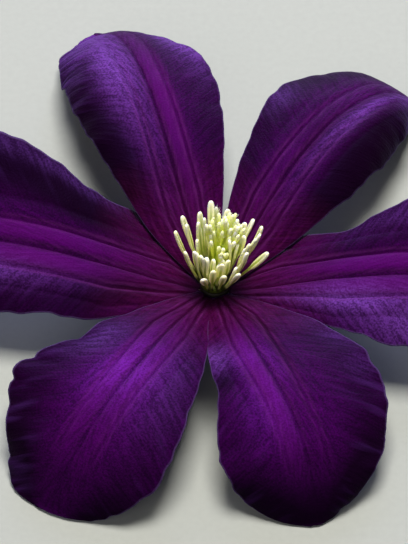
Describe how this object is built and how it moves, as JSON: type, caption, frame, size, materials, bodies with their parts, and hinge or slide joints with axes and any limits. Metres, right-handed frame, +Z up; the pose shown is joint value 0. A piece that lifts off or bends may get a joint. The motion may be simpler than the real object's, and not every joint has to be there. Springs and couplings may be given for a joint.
{
  "type": "clematis flower",
  "caption": "Open clematis flower with broad arched violet tepals round a crown of cream stamens, picked with a short stub of stalk and lying face up on its tepal tips.",
  "frame": {"origin": "on the surface that the flower lies on, under the middle of the flower's box", "axes": "+Z up out of the flower's face, +Y towards the two back tepals, +X towards the right tepal"},
  "size_m": [0.1186, 0.1132, 0.0213],
  "materials": {
    "violet_tepal": "velvety petal skin, matt with a soft bluish sheen, veined, with a magenta bar along the midrib",
    "cream_stamen": "matt cream filaments and pollen-dusted anthers",
    "green_pistil": "satin yellow-green core with silky pale styles",
    "green_stalk": "satin green stalk, finely downy"
  },
  "bodies": {
    "root": {"stalk": "green_stalk", "tepal_back_left": "violet_tepal", "tepal_back_right": "violet_tepal", "tepal_left": "violet_tepal", "tepal_right": "violet_tepal", "tepal_front_left": "violet_tepal", "tepal_front_right": "violet_tepal", "stamens": "cream_stamen", "pistils": "green_pistil"}
  },
  "joints": []
}
